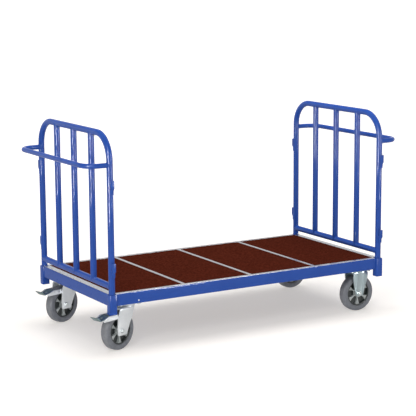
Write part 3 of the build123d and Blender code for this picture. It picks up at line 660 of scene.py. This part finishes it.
def axle_bolt(bm, end, side):
    """Axle bolt's shank, washers, hexagon head and nut across a fork, and the thread's domed end."""
    hub, axis, _ = wheel_frame(end, side)
    tube(bm, [hub - axis * FORK_OUTSIDE, hub + axis * FORK_OUTSIDE], SHANK_RADIUS, Z_AXIS)
    for sign in (-1, 1):
        seat = hub + axis * sign * FORK_OUTSIDE
        hexagon_head(bm, seat, axis * sign, AXLE_FLATS, AXLE_HEAD, AXLE_WASHER)
    thread_end = [(0.0070, 0.0056), (0.0076, 0.0054), (0.0080, 0.0042)]
    lathe(bm, hub - axis * FORK_OUTSIDE, -axis, thread_end, SMALL)


def castors():
    """Axle bolts, and the forks, plates, pedals and fasteners with their edges rounded over."""
    for side in SIDES:
        bm = bmesh.new()
        axle_bolt(bm, "left", side)
        add_piece(f"axle_bolt_{side}_left", bm, f"swivel_axle_{side}", (f"swivel_axle_{side}",))
        refine(f"plate_and_race_{side}", f"swivel_plate_{side}", PLATE_EDGE)
        refine(f"swivel_fork_{side}_shell", f"swivel_fork_{side}", FORMED_EDGE)
        refine(f"fixed_fork_{side}_shell", f"fixed_fork_{side}", FORMED_EDGE)
        refine(f"pedal_{side}_plate", f"brake_pedal_{side}", PEDAL_EDGE)
    bm = bmesh.new()
    for side in SIDES:
        axle_bolt(bm, "right", side)
    add_piece("axle_bolts_right", bm, "fixed_axles", ("fixed_axles",))
    refine("plate_bolts", "castor_fasteners", BOLT_EDGE)


def rivets():
    """Domed rivet heads on the outer faces of the side rails."""
    low, high = (Vector(corner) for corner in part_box("rail_rivets"))
    middle = (low + high) / 2
    shank = [(0.0, 0.0030), (0.0025, 0.0030)]
    head = [(0.0025, 0.0042), (0.0030, 0.0041), (0.0036, 0.0030), (0.0039, 0.0014)]
    bm = bmesh.new()
    for sign, face in ((-1, low.y), (1, high.y)):
        seat = Vector((middle.x, face - sign * RIVET_RISE, middle.z))
        lathe(bm, seat, Y_AXIS * sign, shank + head, SMALL)
    add_piece("rivet_heads", bm, "rail_rivets", ("rail_rivets",))


# ---------------------------------------------------------------- stage and light
def stage():
    """Pale studio floor under the truck, faintly lit from within like a light table: a warm painted glow,
    weaker round the truck, where it paints a darker floor as painted shade.
    """
    nodes = Nodes("studio_floor")
    nodes.set(Base_Color=(0.60, 0.575, 0.55, 1.0), Roughness=0.7, Specular_IOR_Level=0.1)
    nodes.set(Emission_Color=(1.0, 0.972, 0.942, 1.0))
    reach = nodes.tree.nodes.new("ShaderNodeVectorMath")
    reach.operation = "LENGTH"
    nodes.link(nodes.place(), reach.inputs[0])
    # painted glow by distance from the truck: the weaker glow near it is a painted shade
    glow = nodes.spread(reach.outputs["Value"], *GLOW_STRENGTHS, *GLOW_DISTANCES)
    nodes.link(glow, nodes.shader.inputs["Emission Strength"])
    mesh = bpy.data.meshes.new("studio_floor")
    corners = [(a * FLOOR_HALF, b * FLOOR_HALF, 0) for a, b in ((-1, -1), (1, -1), (1, 1), (-1, 1))]
    mesh.from_pydata(corners, [], [(0, 1, 2, 3)])
    floor = bpy.data.objects.new("studio_floor", mesh)
    mesh.materials.append(nodes.material)
    bpy.context.scene.collection.objects.link(floor)
    floor.visible_glossy = False


def softbox(name, place, target, size, power, lights_surfaces, shows_in_reflections):
    """Rectangular light at place, aimed at target."""
    light = bpy.data.lights.new(name, "AREA")
    light.shape = "RECTANGLE"
    light.size, light.size_y = size
    light.energy = power
    lamp = bpy.data.objects.new(name, light)
    lamp.location = place
    lamp.rotation_mode = "QUATERNION"
    lamp.rotation_quaternion = (Vector(target) - Vector(place)).to_track_quat("-Z", "Y")
    lamp.visible_diffuse = lights_surfaces
    lamp.visible_glossy = shows_in_reflections
    bpy.context.scene.collection.objects.link(lamp)


def surroundings():
    """White studio, brightest at the level of the horizon."""
    world = bpy.data.worlds.new("studio")
    world.use_nodes = True
    nodes = world.node_tree.nodes
    links = world.node_tree.links
    backdrop = nodes["Background"]
    backdrop.inputs["Color"].default_value = (1.0, 1.0, 1.0, 1.0)
    place = nodes.new("ShaderNodeTexCoord")
    split = nodes.new("ShaderNodeSeparateXYZ")
    strength = nodes.new("ShaderNodeMath")
    strength.operation = "MULTIPLY"
    links.new(place.outputs["Generated"], split.inputs["Vector"])
    for socket, ramp in zip(strength.inputs, SURROUNDINGS):
        fade = nodes.new("ShaderNodeMapRange")
        for name, number in zip(("From Min", "From Max", "To Min", "To Max"), ramp):
            fade.inputs[name].default_value = number
        links.new(split.outputs["Z"], fade.inputs["Value"])
        links.new(fade.outputs["Result"], socket)
    links.new(strength.outputs["Value"], backdrop.inputs["Strength"])
    bpy.context.scene.world = world


def lighting():
    """Surroundings and soft lights."""
    surroundings()
    for light in LIGHTS:
        softbox(*light)
    bpy.context.scene.view_settings.view_transform = "Standard"


def camera():
    """Camera turned by yaw from +Y, then by pitch and roll."""
    ahead = Vector((math.sin(CAMERA_YAW), math.cos(CAMERA_YAW), 0))
    forward = ahead * math.cos(CAMERA_PITCH) + Z_AXIS * math.sin(CAMERA_PITCH)
    level = forward.cross(Z_AXIS).normalized()
    upward = level.cross(forward)
    right = level * math.cos(CAMERA_ROLL) + upward * math.sin(CAMERA_ROLL)
    up = upward * math.cos(CAMERA_ROLL) - level * math.sin(CAMERA_ROLL)
    data = bpy.data.cameras.new("camera")
    data.sensor_width = SENSOR_WIDTH
    data.lens = LENS_LENGTH
    data.clip_end = CLIP_END
    seen_from = bpy.data.objects.new("camera", data)
    turn = Matrix((right, up, -forward)).transposed()
    seen_from.matrix_world = Matrix.Translation(CAMERA_PLACE) @ turn.to_4x4()
    bpy.context.scene.collection.objects.link(seen_from)
    bpy.context.scene.camera = seen_from


def paint_frame():
    """Every carried-over CAD node takes the material of its slot."""
    for node, slot in SLOT_OF.items():
        mesh = frame["nodes"][node].data
        mesh.materials.clear()
        mesh.materials.append(MATERIALS[slot])


camera()
lighting()
stage()
paint_frame()
for wall_end in ENDS:
    end_wall(wall_end)
    rail(f"end_rail_{wall_end}", Y_AXIS, f"end_tube_{wall_end}")
    for wall_side in SIDES:
        socket(f"corner_socket_{wall_side}_{wall_end}", f"socket_tube_{wall_side}_{wall_end}")
        tyre(wall_end, wall_side)
        rim(wall_end, wall_side)
for rail_side in SIDES:
    rail(f"side_rail_{rail_side}", X_AXIS, f"side_tube_{rail_side}")
castors()
rivets()
